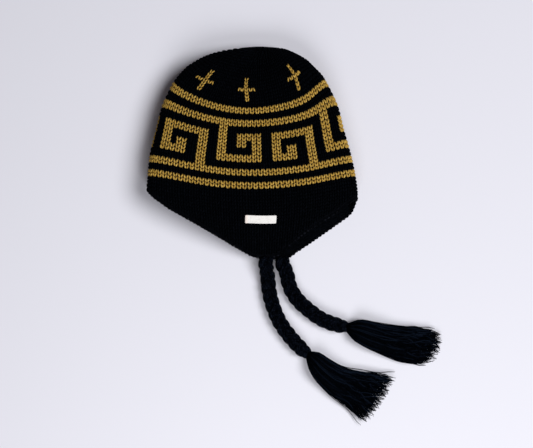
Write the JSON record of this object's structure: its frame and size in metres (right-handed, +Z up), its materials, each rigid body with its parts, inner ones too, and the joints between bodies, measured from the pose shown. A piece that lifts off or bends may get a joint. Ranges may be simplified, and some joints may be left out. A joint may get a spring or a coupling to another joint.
{
  "type": "earflap beanie",
  "caption": "Knitted winter hat with earflaps, lying flat on its side, with a patterned band, a cord-edged hem and a braided tie with a tassel at the tip of each flap.",
  "frame": {"origin": "on the surface that the hat lies on, under the middle of the hat's bounding box without its ties and tassels", "axes": "+Z up from the surface, +Y from the hem towards the tip of the crown, +X across the hat towards its nape, with the near earflap facing up"},
  "size_m": [0.3493, 0.4443, 0.054],
  "materials": {
    "wool_yarn": "matt knitted wool yarn, with a charted band of mustard gold yarn in the visual model",
    "woven_label": "matt woven tape"
  },
  "bodies": {
    "root": {"knit_cap": "wool_yarn", "hem_edging": "wool_yarn", "label": "woven_label", "near_tie": "wool_yarn", "far_tie": "wool_yarn", "near_tassel": "wool_yarn", "far_tassel": "wool_yarn"}
  },
  "joints": []
}
